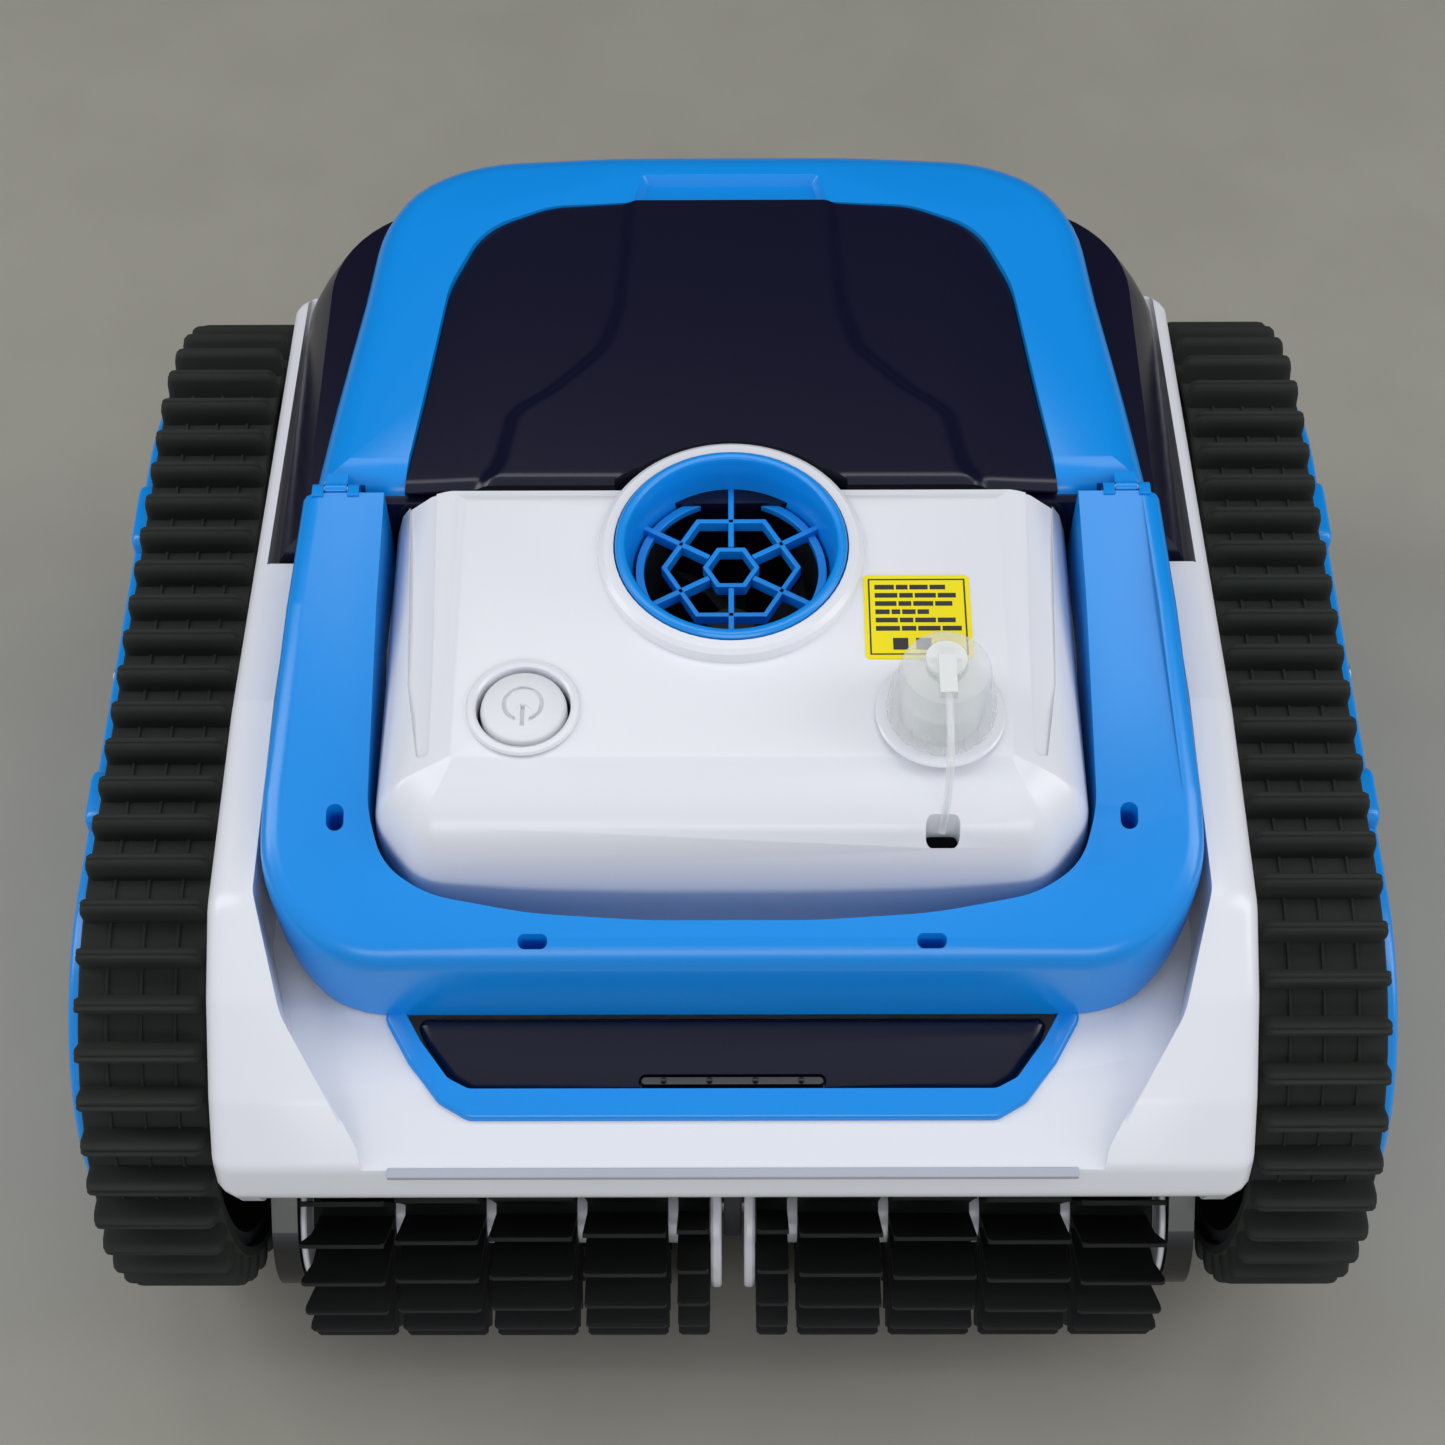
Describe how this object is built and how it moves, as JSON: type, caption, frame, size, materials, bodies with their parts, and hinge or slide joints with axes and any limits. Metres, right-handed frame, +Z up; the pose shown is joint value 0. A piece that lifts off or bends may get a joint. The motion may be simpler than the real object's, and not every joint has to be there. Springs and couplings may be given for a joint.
{
  "type": "pool cleaner",
  "caption": "Cordless tracked pool cleaner with twin front brushes, hinged filter lid, carry handle, thrust outlet, power button and screw-on charging cap.",
  "frame": {"origin": "on the pool floor, below the centre of the cleaner's bounding box", "axes": "+X across the tracks, -Y towards the brushes, +Z up"},
  "size_m": [0.418, 0.3709, 0.2674],
  "materials": {
    "white_shell": "glossy white moulded plastic",
    "white_button": "satin white plastic",
    "navy_gloss": "high gloss near-black navy plastic",
    "blue_plastic": "satin-gloss sky blue plastic",
    "track_rubber": "dull black moulded rubber",
    "brush_rubber": "smooth black soft plastic fins",
    "black_gloss": "gloss black plastic",
    "dark_plastic": "plain dark grey plastic",
    "clear_plastic": "clear plastic",
    "frosted_plastic": "milky plastic",
    "yellow_label": "printed film",
    "steel": "stainless steel",
    "motor_steel": "plated steel can",
    "cell_wrap": "shrink wrap",
    "circuit_board": "solder mask",
    "seal_rubber": "soft seal rubber",
    "mesh_cloth": "fine woven filter mesh"
  },
  "bodies": {
    "chassis": {"base_plate": "dark_plastic", "battery_case": "dark_plastic", "battery_cells": "cell_wrap", "body_shell": "white_shell", "brush_bracket": "dark_plastic", "brush_rod": "steel", "button_boot": "seal_rubber", "button_switch": "dark_plastic", "carry_handle": "blue_plastic", "case_screws": "steel", "chamber_seal": "seal_rubber", "charge_port": "frosted_plastic", "charge_socket": "dark_plastic", "control_board": "circuit_board", "drive_motors": "motor_steel", "filter_basket": "dark_plastic", "filter_mesh": "mesh_cloth", "front_axles": "steel", "front_panel": "navy_gloss", "front_trim": "blue_plastic", "gear_cases": "black_gloss", "hinge_pins": "steel", "light_bar": "black_gloss", "notice_label": "yellow_label", "outlet_duct": "dark_plastic", "outlet_grille": "blue_plastic", "port_ring": "white_shell", "pump_housing": "dark_plastic", "pump_motor": "motor_steel", "rear_housing": "navy_gloss", "side_panel_left": "blue_plastic", "side_panel_right": "blue_plastic", "top_cover": "white_shell", "track_belt_left": "track_rubber", "track_belt_right": "track_rubber"},
    "lid": {"lid_frame": "blue_plastic", "lid_window": "navy_gloss"},
    "impeller": {"impeller": "dark_plastic", "impeller_shaft": "steel"},
    "power_button": {"power_button": "white_button"},
    "cap_carrier": {"tether_plate": "frosted_plastic", "cap_tether": "clear_plastic"},
    "charge_cap": {"charge_cap": "clear_plastic"},
    "drive_wheel_right": {"drive_wheel_right": "dark_plastic", "drive_shaft_right": "steel"},
    "front_wheel_right": {"front_wheel_right": "dark_plastic", "hub_gear_right": "dark_plastic"},
    "middle_gear_right": {"middle_gear_right": "dark_plastic"},
    "brush_right": {"brush_core_right": "white_shell", "brush_fins_right": "brush_rubber"},
    "inlet_flap_right": {"inlet_flap_right": "dark_plastic"},
    "drive_wheel_left": {"drive_wheel_left": "dark_plastic", "drive_shaft_left": "steel"},
    "front_wheel_left": {"front_wheel_left": "dark_plastic", "hub_gear_left": "dark_plastic"},
    "middle_gear_left": {"middle_gear_left": "dark_plastic"},
    "brush_left": {"brush_core_left": "white_shell", "brush_fins_left": "brush_rubber"},
    "inlet_flap_left": {"inlet_flap_left": "dark_plastic"}
  },
  "joints": [
    {"name": "lid_hinge", "type": "hinge", "parent": "chassis", "child": "lid", "pos_m": [0, 0.02125, 0.238], "axis": [1, 0, 0], "range_deg": [0, 90]},
    {"name": "impeller_spin", "type": "hinge", "parent": "chassis", "child": "impeller", "pos_m": [0, -0.005, 0.18], "axis": [0, 0, 1], "continuous": true},
    {"name": "button_press", "type": "slide", "parent": "chassis", "child": "power_button", "axis": [0, 0, -1], "range_m": [0, 0.0025], "stiffness_N_per_m": 400, "deforming": ["button_boot"]},
    {"name": "cap_lift", "type": "slide", "parent": "chassis", "child": "cap_carrier", "axis": [0, 0, 1], "range_m": [0, 0.006]},
    {"name": "cap_turn", "type": "hinge", "parent": "cap_carrier", "child": "charge_cap", "pos_m": [0.062, -0.065, 0.25], "axis": [0, 0, 1], "range_deg": [0, 720]},
    {"name": "drive_spin_right", "type": "hinge", "parent": "chassis", "child": "drive_wheel_right", "pos_m": [0.18, 0.0885, 0.097], "axis": [1, 0, 0], "continuous": true},
    {"name": "front_spin_right", "type": "hinge", "parent": "chassis", "child": "front_wheel_right", "pos_m": [0.18, -0.086, 0.097], "axis": [1, 0, 0], "continuous": true},
    {"name": "middle_spin_right", "type": "hinge", "parent": "chassis", "child": "middle_gear_right", "pos_m": [0.1505, -0.11524, 0.06937], "axis": [1, 0, 0], "continuous": true},
    {"name": "brush_spin_right", "type": "hinge", "parent": "chassis", "child": "brush_right", "pos_m": [0.075, -0.1405, 0.0455], "axis": [1, 0, 0], "continuous": true},
    {"name": "flap_hinge_right", "type": "hinge", "parent": "chassis", "child": "inlet_flap_right", "pos_m": [0.045, 0.0872, 0.0483], "axis": [-1, 0, 0], "range_deg": [0, 70]},
    {"name": "drive_spin_left", "type": "hinge", "parent": "chassis", "child": "drive_wheel_left", "pos_m": [-0.18, 0.0885, 0.097], "axis": [1, 0, 0], "continuous": true},
    {"name": "front_spin_left", "type": "hinge", "parent": "chassis", "child": "front_wheel_left", "pos_m": [-0.18, -0.086, 0.097], "axis": [1, 0, 0], "continuous": true},
    {"name": "middle_spin_left", "type": "hinge", "parent": "chassis", "child": "middle_gear_left", "pos_m": [-0.1505, -0.11524, 0.06937], "axis": [1, 0, 0], "continuous": true},
    {"name": "brush_spin_left", "type": "hinge", "parent": "chassis", "child": "brush_left", "pos_m": [-0.075, -0.1405, 0.0455], "axis": [1, 0, 0], "continuous": true},
    {"name": "flap_hinge_left", "type": "hinge", "parent": "chassis", "child": "inlet_flap_left", "pos_m": [-0.045, 0.0872, 0.0483], "axis": [-1, 0, 0], "range_deg": [0, 70]}
  ],
  "couplings": [
    {"joint": "cap_turn", "follows": "cap_lift", "rad_per_m": 2094.4},
    {"joint": "front_spin_right", "follows": "drive_spin_right", "ratio": 1},
    {"joint": "middle_spin_right", "follows": "drive_spin_right", "ratio": -0.83333},
    {"joint": "brush_spin_right", "follows": "drive_spin_right", "ratio": 1.4286},
    {"joint": "front_spin_left", "follows": "drive_spin_left", "ratio": 1},
    {"joint": "middle_spin_left", "follows": "drive_spin_left", "ratio": -0.83333},
    {"joint": "brush_spin_left", "follows": "drive_spin_left", "ratio": 1.4286}
  ]
}
